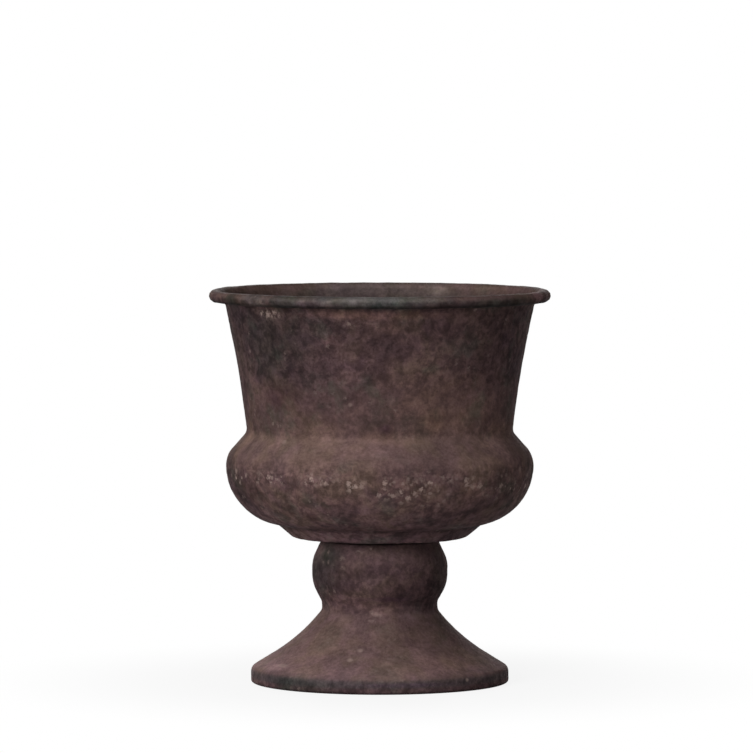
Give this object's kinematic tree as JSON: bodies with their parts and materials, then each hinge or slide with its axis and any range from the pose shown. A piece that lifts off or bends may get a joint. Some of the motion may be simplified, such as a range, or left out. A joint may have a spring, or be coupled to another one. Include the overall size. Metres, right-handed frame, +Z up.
{
  "type": "garden urn",
  "caption": "Footed garden urn of spun sheet steel: a flared bowl with a rolled rim and a bulge below it, a ball-shaped knop and a flared bell foot, in a mottled brown patina.",
  "frame": {"origin": "middle of the circle that the foot's flange stands on", "axes": "+Z up along the urn's axis of revolution; the urn has no front, and +X points at one drain hole"},
  "size_m": [0.261, 0.261, 0.3004],
  "materials": {
    "bowl_patina": "sanded, mottled dark brown with grey-green and darker patches, satin",
    "pedestal_patina": "sanded, mottled brown, a little lighter on the flare of the foot, satin",
    "inner_paint": "thin brown paint, matt",
    "weld_metal": "painted over weld ripple, satin",
    "plain_wire": "drawn steel wire, dull",
    "zinc_fastener": "zinc plated, dull",
    "seal_rubber": "matt black"
  },
  "bodies": {
    "root": {"bowl_wall": "bowl_patina", "bowl_base": "bowl_patina", "rim_wire": "plain_wire", "seam_weld": "weld_metal", "knop": "pedestal_patina", "foot_bell": "pedestal_patina", "neck_cup": "inner_paint", "tie_bolt": "zinc_fastener", "head_washer": "zinc_fastener", "seal_washer": "seal_rubber", "nut_washer": "zinc_fastener", "lock_washer": "zinc_fastener", "tie_nut": "zinc_fastener"}
  },
  "joints": []
}
